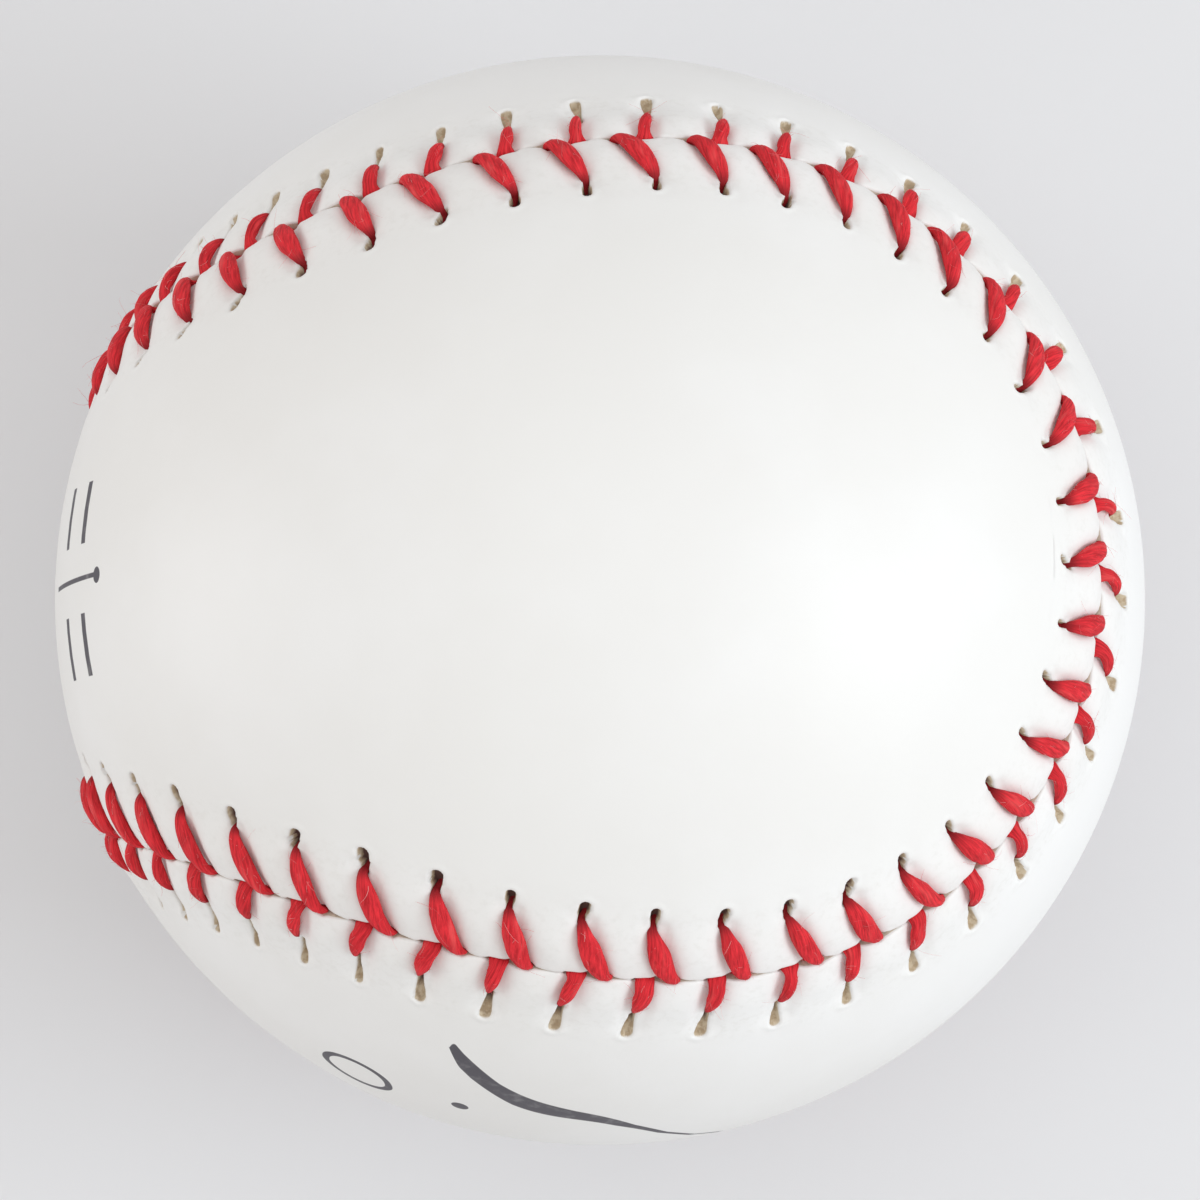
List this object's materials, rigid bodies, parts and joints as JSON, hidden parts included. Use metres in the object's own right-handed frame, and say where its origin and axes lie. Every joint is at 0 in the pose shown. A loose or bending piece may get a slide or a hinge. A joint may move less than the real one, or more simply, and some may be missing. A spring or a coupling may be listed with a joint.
{
  "type": "baseball",
  "caption": "White leather ball with a raised red double-stitched seam, wound in yarn round a cork and rubber pill, for hitting, throwing and catching.",
  "frame": {"origin": "centre of the ball", "axes": "+Z out through the middle of one lobe of cover panel A, -Z out through its other lobe, -X through its waist; +X through cover panel B's waist and +Y and -Y through its two lobes"},
  "size_m": [0.074, 0.074, 0.074],
  "materials": {
    "cork": "ground cork and rubber composition, matt",
    "black_rubber": "moulded, matt",
    "red_rubber": "moulded, matt",
    "grey_wool": "tightly wound four-ply and three-ply yarn",
    "white_wool": "tightly wound three-ply yarn",
    "finish_yarn": "tightly wound fine cotton and polyester yarn",
    "cement": "dried rubber cement, thin and tacky",
    "leather": "alum-tanned white leather, smooth, with a soft sheen",
    "red_thread": "waxed four-ply cotton thread"
  },
  "bodies": {
    "root": {"cork_core": "cork", "cushion_shell_upper": "black_rubber", "cushion_shell_lower": "black_rubber", "cushion_washer_upper": "red_rubber", "cushion_washer_lower": "red_rubber", "pill_jacket": "red_rubber", "first_winding": "grey_wool", "second_winding": "white_wool", "third_winding": "grey_wool", "finish_winding": "finish_yarn", "cement_coat": "cement", "cover_panel_a": "leather", "cover_panel_b": "leather", "seam_thread_first_needle": "red_thread", "seam_thread_second_needle": "red_thread"}
  },
  "joints": []
}
